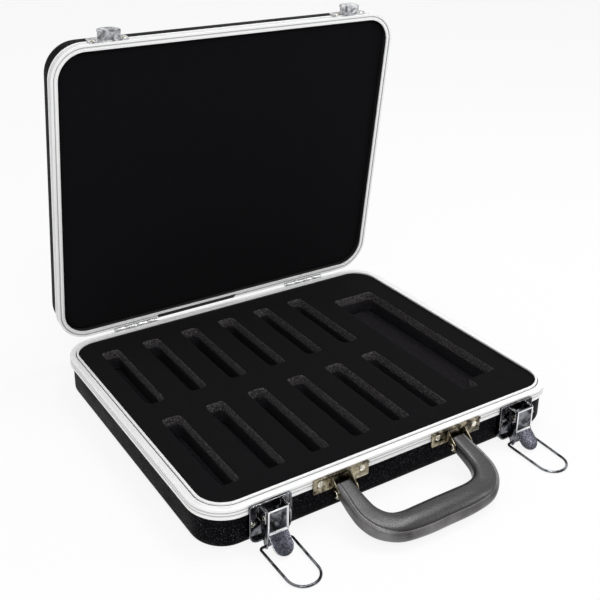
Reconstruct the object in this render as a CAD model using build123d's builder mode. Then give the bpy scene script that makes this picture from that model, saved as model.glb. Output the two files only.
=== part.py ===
# Hard case for a set of harmonicas: two moulded trays with aluminium frames, hinged at the back,
# a cut foam insert, two loop latches and a drop handle at the front. Millimetres, +Z up.
# The origin is the centre of the base's underside. +X is right and +Y is towards the hinges.
# The base stands level, the lid stands open and the latch loops and the handle lie forward.
import os
from math import asin, cos, hypot, radians, sin, sqrt

from build123d import *

os.makedirs("parts", exist_ok=True)

# Overall sizes of the closed case
case_width = 360.0
case_depth = 295.0
base_height = 38.0
lid_height = 30.5
seam_gap = 0.2          # between the two frames when shut
lid_open = 82.6         # degrees from shut, as it stands

# Moulded trays
wall = 2.5
shell_setback = 2.7     # shell face behind the frame's outer face
shell_edge_r = 7.0      # rounding where the sides meet the floor or the roof

# Aluminium frames
corner_r = 31.0         # outer corner, seen from above
frame_height = 8.6      # outer face
rim_width = 8.0         # flat top of the base frame
lid_rim_width = 6.0
web = 2.2               # metal between the rim face and the top of the shell wall
channel_gap = 0.05      # each side of the shell wall in the frame's channel
tongue_width = 1.8
tongue_rise = 1.3
groove_width = 0.8
groove_depth = 0.8
line_depth = 0.5        # fine lines drawn along the outer faces
line_width = 0.9
line_levels = (2.7, 5.3)
joint_x = -103.0        # where a frame's ends meet, behind the left hinge
joint_gap = 0.3
lid_line_inset = 3.4    # line on the lid frame's rim face, from the inner edge

# Foam insert of the base and foam pad of the lid
foam_gap = 0.3
foam_below_rim = 1.2
foam_sheet = 10.0
slot_depth = 22.0       # through the two upper sheets
pad_below_rim = 4.5
slot_width = 17.5
slot_length = 103.5
slot_pitch = 41.7
slot_columns = 6
first_slot_inset = 37.7  # first column's middle from the case's left side
slot_row_gap = 27.0     # foam left between the front and the back row
long_slot_inset = 55.0  # its middle from the case's right side
long_slot_width = 48.0
long_slot_front_inset = 49.0
long_slot_back_inset = 55.5
notch_width = 16.0
notch_length = 12.5

# Hinges
hinge_inset = 80.0      # a hinge's middle from the case's side
hinge_length = 47.0
hinge_behind = 2.0      # axis behind the frames' outer faces
knuckle_r = 2.4
knuckle_count = 4
knuckle_gap = 0.3
hinge_pin_r = 1.2
leaf_thick = 1.2
leaf_height = 8.0
leaf_rivet_inset = 7.0
pocket_gap = 0.5
run_gap = 0.05          # radial clearance of a turning fit

# Slot in the lid frame's lower outer edge between the hinges, and the strip in it
edge_slot_right = 12.0
edge_slot_height = 3.0
edge_slot_slant = 3.0
strip_sunk = 0.8

# Rivets
rivet_r = 1.6
rivet_head_r = 2.7
rivet_head_h = 1.1

# Latches
latch_inset = 54.0      # a latch's middle from the case's side
plate_width = 37.0
plate_top = 1.5         # below the base frame's rim
plate_bottom = 35.5
plate_corner = 8.0
plate_top_corner = 2.0
plate_thick = 1.0
plate_rim = 1.2
plate_rim_rise = 4.9    # rim's front edge in front of the shell
latch_rivet_x = 14.2
latch_rivet_drop = 21.0
lever_width = 18.0
lever_thick = 1.2
lever_out = 12.6        # lever's face in front of the frame's face
lever_top = 2.7
lever_bottom = 24.0
lever_pivot_out = 9.5
lever_pivot_drop = 9.0
latch_pin_r = 1.5
lever_swing_r = 7.2     # what is above the pivot stays inside this radius
latch_pin_head_r = 2.2
latch_pin_head = 0.7
ear_thick = 1.2
ear_gap = 0.3
ear_bottom = 15.5
ear_slope = 2.5         # height of the slanted lower front corner
frame_step_gap = 0.3    # plate's step from the frame's lower edge
tab_length = 17.5
tab_width = 17.0
tab_flare = 51.0        # degrees from straight down
lever_lug_r = 2.3
bail_pivot_out = 9.0
bail_pivot_drop = 35.5
bail_wire_r = 1.1
bail_root_half = 14.0
bail_tip_half = 13.2
bail_root_bend = 2.6
bail_crown_flat = 0.4   # half the straight piece in the middle of the crown
bail_stub_inner = 6.6
bail_floor_gap = 0.15

# Catches on the lid
catch_wing_thick = 1.2
catch_wing_top = 13.0   # from the lid frame's rim
catch_near = 3.6
catch_tip = 10.6
catch_half = 10.5
catch_corner = 6.5      # rounding of the end that the loop goes round
catch_lip_over = 2.4    # how far the lip reaches past the block
catch_lip_thick = 1.2
catch_out = 9.5         # lip's face in front of the frame's face
catch_rivet_x = 14.6
catch_rivet_level = 5.4
hook_gap = 0.15         # loop's wire from the block and from the lip
wing_corner = 2.0

# Handle and its brackets
handle_x = -2.0         # the handle sits a little left of the middle
bracket_spacing = 118.0
bracket_width = 53.0
bracket_thick = 1.2
bracket_top = 1.2
bracket_bottom = 14.3
bracket_roll = 2.1      # thickness of the rolled top edge
bracket_roll_height = 1.9
bracket_roll_corner = 0.6
bracket_corner = 1.5
bracket_rivet_x = 20.0
bracket_rivet_drop = 6.2
bracket_ear_top = 4.5
bracket_ear_r = 4.3
handle_pivot_out = 7.5
handle_pivot_drop = 15.5
handle_pin_r = 1.8
handle_pin_head_r = 3.0
handle_pin_head = 0.9
handle_end_width = 16.0
handle_end_gap = 0.3
handle_end_r = 5.7
handle_reach = 60.5     # pivot to the grip's outer edge
handle_inner = 35.5     # pivot to the grip's inner edge
handle_half_width = 69.8
handle_widest = 26.0    # how far out the handle is widest
grip_half_outer = 55.0
grip_half_inner = 46.5
grip_thick = 17.0
handle_tilt = 14.5      # degrees below level, with the grip on the table
handle_edge_r = 5.2
handle_shoulder_r = 30.0
grip_corner_r = 34.0
handle_inner_r = 16.0

# Places worked out from the sizes
half_x = case_width / 2
half_y = case_depth / 2
shell_x = half_x - shell_setback
shell_y = half_y - shell_setback
shell_r = corner_r - shell_setback
hinge_y = half_y + hinge_behind
hinge_z = base_height + seam_gap / 2
lid_rim_z = base_height + seam_gap
hinge_x = half_x - hinge_inset
latch_x = half_x - latch_inset
first_slot_x = first_slot_inset - half_x
long_slot_x = half_x - long_slot_inset
long_slot_front = long_slot_front_inset - half_y
long_slot_back = half_y - long_slot_back_inset
pin_y = -half_y - lever_pivot_out
pin_z = base_height - lever_pivot_drop
loop_y = -half_y - bail_pivot_out
loop_z = base_height - bail_pivot_drop
# The loop's crown goes round the catch's two rounded corners: crown_room is how far its middle
# is from each corner's middle, and crown_past is how far it is nearer the seam than they are
crown_room = bail_tip_half - bail_wire_r - hook_gap - catch_corner
crown_past = sqrt(crown_room ** 2 - (catch_half - catch_corner) ** 2)
hook_y = -half_y - catch_out + catch_lip_thick + hook_gap + bail_wire_r
hook_z = lid_rim_z + catch_tip - catch_corner - crown_past + bail_tip_half
bail_length = hypot(hook_y - loop_y, hook_z - loop_z)
grip_y = -half_y - handle_pivot_out
grip_z = base_height - handle_pivot_drop
bracket_xs = (handle_x - bracket_spacing / 2, handle_x + bracket_spacing / 2)
sides = {"left": -1, "right": 1}
edge_slot_left = hinge_length / 2 + pocket_gap - hinge_x

# Turning about the hinge axis brings the shut lid to where it stands
lid_turn = Location((0, hinge_y, hinge_z), (-lid_open, 0, 0)) * Location((0, -hinge_y, -hinge_z))


def rim_plane(half, depth):
    """Plane parallel to a half's rim, depth inside it, facing away from the other half."""
    if half == "base":
        return Plane((0, 0, base_height - depth), x_dir=(1, 0, 0), z_dir=(0, 0, -1))
    return place("lid", Plane.XY.offset(lid_rim_z + depth))


def place(half, plane):
    """A plane given for the shut case, moved to where that half is."""
    return plane if half == "base" else Plane(lid_turn * plane.location)


def level(half, depth):
    """Height in the shut case of a place depth inside a half's rim."""
    return base_height - depth if half == "base" else lid_rim_z + depth


def facing_front(half, x, y, z):
    return place(half, Plane((x, y, z), x_dir=(1, 0, 0), z_dir=(0, -1, 0)))


def facing_back(half, x, y, z):
    return place(half, Plane((x, y, z), x_dir=(-1, 0, 0), z_dir=(0, 1, 0)))


def write(name, shape):
    shape.label = name
    export_step(shape, f"parts/{name}.step")


def save(name, builder):
    write(name, builder.part)


# Rivets. Each has the plane under its head, which faces outwards, and its grip behind it
def back_rivets(half):
    """Rivets of both hinge leaves of a half: through leaf, frame and shell wall."""
    seats = []
    for side in sides.values():
        for x in (leaf_rivet_inset - hinge_length / 2, 0, hinge_length / 2 - leaf_rivet_inset):
            z = level(half, leaf_rivet_level)
            seats.append(facing_back(half, side * hinge_x + x, half_y + leaf_thick, z))
    return seats, leaf_thick + shell_setback + wall


def catch_rivets():
    seats = []
    for side in sides.values():
        for x in (-catch_rivet_x, catch_rivet_x):
            z = level("lid", catch_rivet_level)
            seats.append(facing_front("lid", side * latch_x + x, -half_y - catch_wing_thick, z))
    return seats, catch_wing_thick + shell_setback + wall


def bracket_rivets():
    seats = []
    for centre in bracket_xs:
        for x in (-bracket_rivet_x, bracket_rivet_x):
            z = level("base", bracket_rivet_drop)
            seats.append(facing_front("base", centre + x, -half_y - bracket_thick, z))
    return seats, bracket_thick + shell_setback + wall


def latch_rivets():
    seats = []
    for side in sides.values():
        for x in (-latch_rivet_x, latch_rivet_x):
            z = level("base", latch_rivet_drop)
            seats.append(facing_front("base", side * latch_x + x, -shell_y - plate_thick, z))
    return seats, plate_thick + wall


leaf_rivet_level = (knuckle_r + pocket_gap + leaf_height) / 2
half_rivets = {"base": [back_rivets("base"), bracket_rivets(), latch_rivets()],
               "lid": [back_rivets("lid"), catch_rivets()]}


def make_rivets(rows):
    """Domed rivets, each turned about its own axis."""
    seats, grip = rows
    dome_r = (rivet_head_r ** 2 + rivet_head_h ** 2) / (2 * rivet_head_h)
    dome_mid = (rivet_head_h - dome_r + sqrt(dome_r ** 2 - rivet_head_r ** 2 / 4), rivet_head_r / 2)
    with BuildPart() as rivets:
        for seat in seats:
            with BuildSketch(Plane(seat.origin, x_dir=seat.z_dir, z_dir=seat.x_dir)):
                with BuildLine():
                    Polyline((rivet_head_h, 0), (-grip, 0), (-grip, rivet_r), (0, rivet_r),
                             (0, rivet_head_r))
                    ThreePointArc((0, rivet_head_r), dome_mid, (rivet_head_h, 0))
                make_face()
            revolve(axis=Axis(seat.origin, seat.z_dir))
    return rivets


def make_holes(half):
    """The rivet holes of one half as one cutter."""
    with BuildPart() as cutter:
        for seats, grip in half_rivets[half]:
            for seat in seats:
                with BuildSketch(seat):
                    Circle(rivet_r)
                extrude(amount=-grip)
    return cutter.part


# A solid block with rounded corners and a rounded far edge, from one depth to another
def make_block(half, x, y, corner, start, end, edge_r):
    inward = rim_plane(half, 0)
    with BuildPart() as block:
        with BuildSketch(rim_plane(half, start)):
            RectangleRounded(2 * x, 2 * y, corner)
        extrude(amount=end - start)
        if edge_r > 0:
            fillet(block.faces().sort_by(Axis(inward.origin, inward.z_dir))[-1].edges(), edge_r)
    return block.part


# The moulded tray of the base or of the lid, whose wall ends in the frame's channel
def make_shell(half, depth):
    with BuildPart() as shell:
        add(make_block(half, shell_x, shell_y, shell_r, web, depth, shell_edge_r))
        add(make_block(half, shell_x - wall, shell_y - wall, shell_r - wall, web, depth - wall,
                       shell_edge_r - wall), mode=Mode.SUBTRACT)
        add(make_holes(half), mode=Mode.SUBTRACT)
    return shell


def make_ring(half, outer_inset, inner_inset, start, end):
    """A band that follows the case's outline, between two insets and two depths."""
    with BuildPart() as ring:
        with BuildSketch(rim_plane(half, start)):
            RectangleRounded(2 * (half_x - outer_inset), 2 * (half_y - outer_inset),
                             corner_r - outer_inset)
            RectangleRounded(2 * (half_x - inner_inset), 2 * (half_y - inner_inset),
                             corner_r - inner_inset, mode=Mode.SUBTRACT)
        extrude(amount=end - start)
    return ring.part


def make_hinge_pockets(half):
    """Room for the knuckles in the frame's outer back edge."""
    with BuildPart() as pockets:
        for side in sides.values():
            start = side * hinge_x - hinge_length / 2 - pocket_gap
            with BuildSketch(place(half, Plane.YZ.offset(start))):
                with Locations((hinge_y, hinge_z)):
                    Circle(knuckle_r + pocket_gap)
            extrude(amount=hinge_length + 2 * pocket_gap)
    return pockets.part


def make_joint(half):
    """The fine gap where a frame's two ends meet, at the back."""
    with BuildPart() as joint:
        with BuildSketch(place(half, Plane.YZ.offset(joint_x))):
            with Locations((half_y, hinge_z)):
                Rectangle(corner_r, corner_r)
        extrude(amount=joint_gap)
    return joint.part


# Aluminium frame: a channel over the shell's wall, with fine lines along its outer face
def make_frame(half, width):
    with BuildPart() as frame:
        add(make_ring(half, 0, width, 0, frame_height))
        add(make_ring(half, shell_setback - channel_gap, shell_setback + wall + channel_gap,
                      web, frame_height), mode=Mode.SUBTRACT)
        for depth in line_levels:
            add(make_ring(half, -line_depth, line_depth, depth, depth + line_width),
                mode=Mode.SUBTRACT)
        add(make_hinge_pockets(half), mode=Mode.SUBTRACT)
        add(make_joint(half), mode=Mode.SUBTRACT)
        add(make_holes(half), mode=Mode.SUBTRACT)
    return frame


# Base: shell, and frame with its proud tongue
base_shell = make_shell("base", base_height)
save("base_shell", base_shell)

with BuildPart() as base_frame:
    add(make_frame("base", rim_width).part)
    add(make_ring("base", rim_width - tongue_width, rim_width, -tongue_rise, 0))
    add(make_ring("base", rim_width - tongue_width - groove_width, rim_width - tongue_width,
                  0, groove_depth), mode=Mode.SUBTRACT)
save("base_frame", base_frame)


# The harmonica slots: two rows of equal ones, and a long one with a notch for a slide button
slot_row_y = (slot_row_gap + slot_length) / 2
slot_centres = [(first_slot_x + column * slot_pitch, row * slot_row_y)
                for row in (-1, 1) for column in range(slot_columns)]
long_slot_y = (long_slot_front + long_slot_back) / 2
long_slot_length = long_slot_back - long_slot_front
notch_x = long_slot_x - long_slot_width / 2 + notch_width / 2
notch_y = long_slot_front - notch_length / 2


def make_slots(top_depth, length):
    with BuildPart() as slots:
        with BuildSketch(Plane.XY.offset(base_height - top_depth)):
            with Locations(*slot_centres):
                Rectangle(slot_width, slot_length)
            with Locations((long_slot_x, long_slot_y)):
                Rectangle(long_slot_width, long_slot_length)
            with Locations((notch_x, notch_y)):
                Rectangle(notch_width, notch_length)
        extrude(amount=-length)
    return slots.part


# A foam sheet with the slots through it, drawn as bars and webs that meet face to face. They are
# parted at the slots' ends, so that each is convex and its collision leaves the slots open
def make_slotted_sheet(inset, start, end):
    sheet = make_block("base", half_x - inset, half_y - inset, corner_r - inset, start, end, 0)
    sheet -= make_slots(start, end - start)
    row_ends = (slot_row_gap / 2, slot_row_gap / 2 + slot_length)
    last_slot_side = slot_centres[-1][0] + slot_width / 2
    field_side = (last_slot_side + long_slot_x - long_slot_width / 2) / 2
    rows = (-half_y, -row_ends[1], -row_ends[0], row_ends[0], row_ends[1], half_y)
    long_rows = (-half_y, long_slot_front - notch_length, long_slot_front, long_slot_back, half_y)
    pieces = []
    for left, right, ends in ((-half_x, field_side, rows), (field_side, half_x, long_rows)):
        for front, back in zip(ends, ends[1:]):
            with BuildPart() as cell:
                with BuildSketch(Plane.XY.offset(base_height - end)):
                    with Locations(((left + right) / 2, (front + back) / 2)):
                        Rectangle(right - left, back - front)
                extrude(amount=end - start)
            pieces += (sheet & cell.part).solids()
    return Compound(pieces)


# Foam: two slotted sheets on a plain one
sheet_bottom = foam_below_rim + foam_sheet
slot_bottom = foam_below_rim + slot_depth
inner_gap = shell_setback + wall + foam_gap
write("foam_top_sheet", make_slotted_sheet(rim_width + foam_gap, foam_below_rim, sheet_bottom))
write("foam_middle_sheet", make_slotted_sheet(inner_gap, sheet_bottom, slot_bottom))

with BuildPart() as foam_bottom_sheet:
    add(make_block("base", half_x - inner_gap, half_y - inner_gap, corner_r - inner_gap,
                   slot_bottom, base_height - wall, shell_edge_r - wall))
save("foam_bottom_sheet", foam_bottom_sheet)

# Lid: shell, frame with the slot in its lower outer edge, the strip in that slot, and the pad
lid_shell = make_shell("lid", lid_height)
save("lid_shell", lid_shell)


def make_edge_bar(depth, inset):
    """Bar along the lid frame's lower outer edge, with a slanted right end."""
    front = half_y - edge_slot_height
    with BuildPart() as bar:
        with BuildSketch(place("lid", Plane.XY.offset(lid_rim_z + inset))):
            with BuildLine():
                Polyline((edge_slot_left, front), (edge_slot_right + edge_slot_slant, front),
                         (edge_slot_right, half_y), (edge_slot_left, half_y), close=True)
            make_face()
        extrude(amount=depth - inset)
    return bar.part


with BuildPart() as lid_frame:
    add(make_frame("lid", lid_rim_width).part)
    add(make_ring("lid", lid_rim_width - lid_line_inset, lid_rim_width - lid_line_inset + line_width,
                  0, line_depth), mode=Mode.SUBTRACT)
    add(make_edge_bar(web, 0), mode=Mode.SUBTRACT)
save("lid_frame", lid_frame)

with BuildPart() as lid_edge_strip:
    add(make_edge_bar(web, strip_sunk))
save("lid_edge_strip", lid_edge_strip)

with BuildPart() as lid_foam_pad:
    add(make_block("lid", half_x - lid_rim_width - foam_gap, half_y - lid_rim_width - foam_gap,
                   corner_r - lid_rim_width - foam_gap, pad_below_rim, lid_height - wall,
                   shell_edge_r - wall))
save("lid_foam_pad", lid_foam_pad)


# Hinge leaf: a plate on the frame's back face, with every other knuckle rolled from it
def make_leaf(half, centre, first):
    away = -1 if half == "base" else 1
    low = knuckle_r + pocket_gap
    segment = hinge_length / knuckle_count
    left = centre - hinge_length / 2
    plate_y = half_y + leaf_thick / 2
    hole_r = hinge_pin_r if half == "base" else hinge_pin_r + run_gap
    with BuildPart() as leaf:
        with BuildSketch(place(half, Plane.YZ.offset(left))):
            with Locations((plate_y, hinge_z + away * (low + leaf_height) / 2)):
                Rectangle(leaf_thick, leaf_height - low)
        extrude(amount=hinge_length)
        for index in range(first, knuckle_count, 2):
            start = left + index * segment + knuckle_gap / 2
            with BuildSketch(place(half, Plane.YZ.offset(start))):
                with Locations((plate_y, hinge_z + away * low / 2)):
                    Rectangle(leaf_thick, low)
                with Locations((hinge_y, hinge_z)):
                    Circle(knuckle_r)
                    Circle(hole_r, mode=Mode.SUBTRACT)
            extrude(amount=segment - knuckle_gap)
        add(make_holes(half), mode=Mode.SUBTRACT)
    return leaf


for side_name, side in sides.items():
    centre = side * hinge_x
    base_leaf = make_leaf("base", centre, 0)
    save(f"hinge_base_leaf_{side_name}", base_leaf)
    lid_leaf = make_leaf("lid", centre, 1)
    save(f"hinge_lid_leaf_{side_name}", lid_leaf)
    with BuildPart() as hinge_pin:
        with BuildSketch(Plane.YZ.offset(centre - hinge_length / 2)):
            with Locations((hinge_y, hinge_z)):
                Circle(hinge_pin_r)
        extrude(amount=hinge_length)
    save(f"hinge_pin_{side_name}", hinge_pin)


# Latch plate: a tray that lies on the shell, steps over the frame and carries two ears
def make_latch_plate(centre):
    height = plate_bottom - plate_top
    middle = base_height - (plate_top + plate_bottom) / 2
    step = frame_height + frame_step_gap
    low_floor = -shell_y - plate_thick
    high_floor = -half_y - plate_thick
    ear_x = lever_width / 2 + ear_gap
    with BuildPart() as plate:
        with BuildSketch(facing_front("base", centre, -shell_y, middle)) as outline:
            Rectangle(plate_width, height)
            fillet(outline.vertices().group_by(Axis.Y)[0], plate_corner)
            fillet(outline.vertices().group_by(Axis.Y)[-1], plate_top_corner)
        extrude(amount=plate_rim_rise)
        with BuildSketch(facing_front("base", centre, -shell_y, base_height)):
            Rectangle(plate_width, 2 * step)
        extrude(amount=shell_setback, mode=Mode.SUBTRACT)
        with BuildSketch(facing_front("base", centre, high_floor, middle)) as pocket:
            Rectangle(plate_width - 2 * plate_rim, height - 2 * plate_rim)
            fillet(pocket.vertices().group_by(Axis.Y)[0], plate_corner - plate_rim)
            fillet(pocket.vertices().group_by(Axis.Y)[-1], plate_top_corner - plate_rim)
        extrude(amount=plate_rim_rise, mode=Mode.SUBTRACT)
        with BuildSketch(facing_front("base", centre, low_floor, middle)) as well:
            Rectangle(plate_width - 2 * plate_rim, height - 2 * plate_rim)
            fillet(well.vertices().group_by(Axis.Y)[0], plate_corner - plate_rim)
            with Locations((0, height / 2)):
                Rectangle(plate_width, 2 * (step + plate_thick - plate_top), mode=Mode.SUBTRACT)
        extrude(amount=shell_setback, mode=Mode.SUBTRACT)
        for side in (-1, 1):
            inner = centre + side * ear_x - (ear_thick if side < 0 else 0)
            with BuildSketch(Plane.YZ.offset(inner)):
                with BuildLine():
                    Polyline((high_floor, base_height - lever_top),
                             (-half_y - lever_out + lever_thick, base_height - lever_top),
                             (-half_y - lever_out + lever_thick,
                              base_height - ear_bottom + ear_slope),
                             (pin_y + latch_pin_r, base_height - ear_bottom),
                             (low_floor + plate_thick / 2, base_height - ear_bottom),
                             (low_floor + plate_thick / 2, base_height - step - plate_thick),
                             (high_floor, base_height - step - plate_thick), close=True)
                make_face()
                with Locations((pin_y, pin_z)):
                    Circle(latch_pin_r, mode=Mode.SUBTRACT)
            extrude(amount=ear_thick)
        add(make_holes("base"), mode=Mode.SUBTRACT)
    return plate


# Pin that turns with a head at each end: the latch lever's and the handle's
def make_pin(centre, y, z, radius, half_length, head_r, head):
    with BuildPart() as pin:
        for start, length, r in ((-half_length - head, head, head_r),
                                 (-half_length, 2 * half_length, radius),
                                 (half_length, head, head_r)):
            with BuildSketch(Plane.YZ.offset(centre + start)):
                with Locations((y, z)):
                    Circle(r)
            extrude(amount=length)
    return pin


# Latch lever: folded sheet, open at the back, with a thumb tab that flares out at the bottom
def make_lever(centre):
    face_y = -half_y - lever_out
    back_y = pin_y + lever_swing_r
    top_y = pin_y + sqrt(lever_swing_r ** 2 - (lever_pivot_drop - lever_top) ** 2)
    with BuildPart() as lever:
        with BuildSketch(Plane.YZ.offset(centre - lever_width / 2)):
            with BuildLine():
                Polyline((face_y, base_height - lever_top),
                         (top_y, base_height - lever_top),
                         (back_y, pin_z),
                         (back_y, base_height - lever_bottom),
                         (loop_y + lever_lug_r, loop_z),
                         (loop_y - lever_lug_r, loop_z),
                         (face_y, base_height - lever_bottom), close=True)
            make_face()
            with Locations((loop_y, loop_z)):
                Circle(lever_lug_r)
            with Locations((pin_y, pin_z)):
                Circle(latch_pin_r + run_gap, mode=Mode.SUBTRACT)
            with Locations((loop_y, loop_z)):
                Circle(bail_wire_r + run_gap, mode=Mode.SUBTRACT)
        extrude(amount=lever_width)
        inside = lever_width - 2 * lever_thick
        with BuildSketch(Plane.XY.offset(base_height)):
            with Locations((centre, face_y + lever_thick + case_depth / 2)):
                Rectangle(inside, case_depth)
        extrude(amount=-base_height, mode=Mode.SUBTRACT)
        down = radians(tab_flare)
        tab_plane = Plane((centre, face_y, base_height - lever_bottom), x_dir=(1, 0, 0),
                          z_dir=(0, cos(down), -sin(down)))
        with BuildSketch(tab_plane):
            with Locations((0, (tab_length - tab_width / 2) / 2)):
                Rectangle(tab_width, tab_length - tab_width / 2)
            with Locations((0, tab_length - tab_width / 2)):
                Circle(tab_width / 2)
        extrude(amount=lever_thick)
    return lever


# Wire loop of the latch: its two stubs turn in the lever's lugs
def make_bail(centre):
    drop = asin((loop_z - bail_wire_r - bail_floor_gap) / bail_length)
    plane = Plane((centre, loop_y, loop_z), x_dir=(-1, 0, 0), z_dir=(0, -sin(drop), cos(drop)))
    crown_r = bail_tip_half - bail_crown_flat
    with BuildPart() as bail:
        with BuildLine(plane) as route:
            FilletPolyline((-bail_stub_inner, 0), (-bail_root_half, 0),
                           (-bail_tip_half, bail_length), (bail_tip_half, bail_length),
                           (bail_root_half, 0), (bail_stub_inner, 0),
                           radius=[bail_root_bend, crown_r, crown_r, bail_root_bend])
        with BuildSketch(Plane(route.line @ 0, z_dir=route.line % 0)):
            Circle(bail_wire_r)
        sweep()
    return bail


for side_name, side in sides.items():
    centre = side * latch_x
    save(f"latch_plate_{side_name}", make_latch_plate(centre))
    ear_outer = lever_width / 2 + ear_gap + ear_thick
    save(f"latch_pin_{side_name}",
         make_pin(centre, pin_y, pin_z, latch_pin_r, ear_outer, latch_pin_head_r, latch_pin_head))
    save(f"latch_lever_{side_name}", make_lever(centre))
    save(f"latch_bail_{side_name}", make_bail(centre))


# Catch: a riveted plate with a block and an overhanging lip that the latch loop drops behind
def make_hook(plane, tip, corner, thick):
    with BuildPart() as hook:
        with BuildSketch(plane) as outline:
            with Locations((0, (catch_near + tip) / 2)):
                Rectangle(2 * catch_half, tip - catch_near)
            fillet(outline.vertices().group_by(Axis.Y)[-1], corner)
        extrude(amount=thick)
    return hook.part


def make_catch(centre):
    face = facing_front("lid", centre, -half_y, lid_rim_z)
    with BuildPart() as catch:
        with BuildSketch(facing_front("lid", centre, -half_y, lid_rim_z)):
            with Locations((0, (plate_top + catch_wing_top) / 2)):
                RectangleRounded(plate_width, catch_wing_top - plate_top, wing_corner)
        extrude(amount=catch_wing_thick)
        add(make_hook(face, catch_tip, catch_corner, catch_out))
        add(make_hook(face.offset(catch_out - catch_lip_thick), catch_tip + catch_lip_over,
                      catch_corner + catch_lip_over / 2, catch_lip_thick))
        add(make_holes("lid"), mode=Mode.SUBTRACT)
    return catch


for side_name, side in sides.items():
    save(f"catch_{side_name}", make_catch(side * latch_x))


# Handle bracket: a plate with a rolled top edge and two ears for the handle's pin
def make_bracket(centre):
    height = bracket_bottom - bracket_top
    middle = base_height - (bracket_top + bracket_bottom) / 2
    ear_x = handle_end_width / 2 + handle_end_gap
    with BuildPart() as bracket:
        with BuildSketch(facing_front("base", centre, -half_y, middle)):
            RectangleRounded(bracket_width, height, bracket_corner)
        extrude(amount=bracket_thick)
        roll_z = base_height - bracket_top - bracket_roll_height / 2
        with BuildSketch(facing_front("base", centre, -half_y, roll_z)):
            RectangleRounded(bracket_width, bracket_roll_height, bracket_roll_corner)
        extrude(amount=bracket_roll)
        for side in (-1, 1):
            inner = centre + side * ear_x - (bracket_thick if side < 0 else 0)
            with BuildSketch(Plane.YZ.offset(inner)):
                with Locations((-half_y - bracket_thick / 2,
                                base_height - (bracket_ear_top + bracket_bottom) / 2)):
                    Rectangle(bracket_thick, bracket_bottom - bracket_ear_top)
                with Locations((grip_y, grip_z)):
                    Circle(bracket_ear_r)
                make_hull()
                with Locations((grip_y, grip_z)):
                    Circle(handle_pin_r, mode=Mode.SUBTRACT)
            extrude(amount=bracket_thick)
        add(make_holes("base"), mode=Mode.SUBTRACT)
    return bracket


for side_name, centre in zip(sides, bracket_xs):
    save(f"handle_bracket_{side_name}", make_bracket(centre))
    ear_outer = handle_end_width / 2 + handle_end_gap + bracket_thick
    save(f"handle_pin_{side_name}",
         make_pin(centre, grip_y, grip_z, handle_pin_r, ear_outer, handle_pin_head_r,
                  handle_pin_head))


# Handle: one moulding, a wide loop seen from above, thicker at the grip than at its ends
def make_handle():
    tilt = radians(handle_tilt)
    flat = Plane((handle_x, grip_y, grip_z), x_dir=(-1, 0, 0), z_dir=(0, -sin(tilt), cos(tilt)))
    upright = Plane(flat.origin, x_dir=flat.y_dir, z_dir=(1, 0, 0))
    end_outer = bracket_spacing / 2 + handle_end_width / 2
    end_inner = bracket_spacing / 2 - handle_end_width / 2
    with BuildPart() as handle:
        with BuildSketch(flat):
            with BuildLine():
                FilletPolyline((-end_outer, -handle_end_r), (-end_outer, handle_end_r),
                               (-handle_half_width, handle_widest),
                               (-grip_half_outer, handle_reach), (grip_half_outer, handle_reach),
                               (handle_half_width, handle_widest),
                               (end_outer, handle_end_r), (end_outer, -handle_end_r),
                               radius=[handle_end_r, handle_shoulder_r, grip_corner_r,
                                       grip_corner_r, handle_shoulder_r, handle_end_r])
                Line((end_outer, -handle_end_r), (-end_outer, -handle_end_r))
            make_face()
            with BuildLine():
                FilletPolyline((-end_inner, -handle_end_r), (-end_inner, handle_end_r),
                               (-grip_half_inner, handle_inner), (grip_half_inner, handle_inner),
                               (end_inner, handle_end_r), (end_inner, -handle_end_r),
                               radius=[handle_end_r, handle_inner_r, handle_inner_r, handle_end_r])
                Line((end_inner, -handle_end_r), (-end_inner, -handle_end_r))
            make_face(mode=Mode.SUBTRACT)
        extrude(amount=grip_thick, both=True)
        with BuildSketch(upright):
            with Locations((0, 0)):
                Circle(handle_end_r)
            with Locations(((handle_inner + handle_reach) / 2, 0)):
                Rectangle(handle_reach - handle_inner, grip_thick)
            make_hull()
        extrude(amount=case_width, both=True, mode=Mode.INTERSECT)
        faces = handle.faces().sort_by(Axis(flat.origin, flat.z_dir))
        fillet(faces[0].edges() + faces[-1].edges(), handle_edge_r)
        with BuildSketch(upright):
            Circle(handle_pin_r + run_gap)
        extrude(amount=case_width, both=True, mode=Mode.SUBTRACT)
    return handle


save("handle", make_handle())
save("hinge_base_rivets", make_rivets(back_rivets("base")))
save("hinge_lid_rivets", make_rivets(back_rivets("lid")))
save("catch_rivets", make_rivets(catch_rivets()))
save("handle_bracket_rivets", make_rivets(bracket_rivets()))
save("latch_rivets", make_rivets(latch_rivets()))
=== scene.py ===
# Looks for the harmonica case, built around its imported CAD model.
# Lengths are millimetres unless a note says otherwise; Blender gets metres.
import math

import bmesh
import bpy
from mathutils import Matrix, Vector, noise


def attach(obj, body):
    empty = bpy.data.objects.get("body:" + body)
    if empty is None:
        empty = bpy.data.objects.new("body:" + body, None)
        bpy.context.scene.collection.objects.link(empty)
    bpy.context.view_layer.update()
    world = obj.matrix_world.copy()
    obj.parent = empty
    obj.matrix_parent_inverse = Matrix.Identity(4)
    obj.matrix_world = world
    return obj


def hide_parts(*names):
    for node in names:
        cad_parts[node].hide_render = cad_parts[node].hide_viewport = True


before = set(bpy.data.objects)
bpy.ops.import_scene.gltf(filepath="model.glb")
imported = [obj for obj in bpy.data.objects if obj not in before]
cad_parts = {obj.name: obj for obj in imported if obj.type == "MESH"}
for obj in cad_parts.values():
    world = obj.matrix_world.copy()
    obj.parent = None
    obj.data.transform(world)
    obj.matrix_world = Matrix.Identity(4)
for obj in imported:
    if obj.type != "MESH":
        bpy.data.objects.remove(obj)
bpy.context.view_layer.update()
mm = 0.001
perMetre = 1000.0       # a pattern with a cell of s millimetres has the scale perMetre / s

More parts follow.
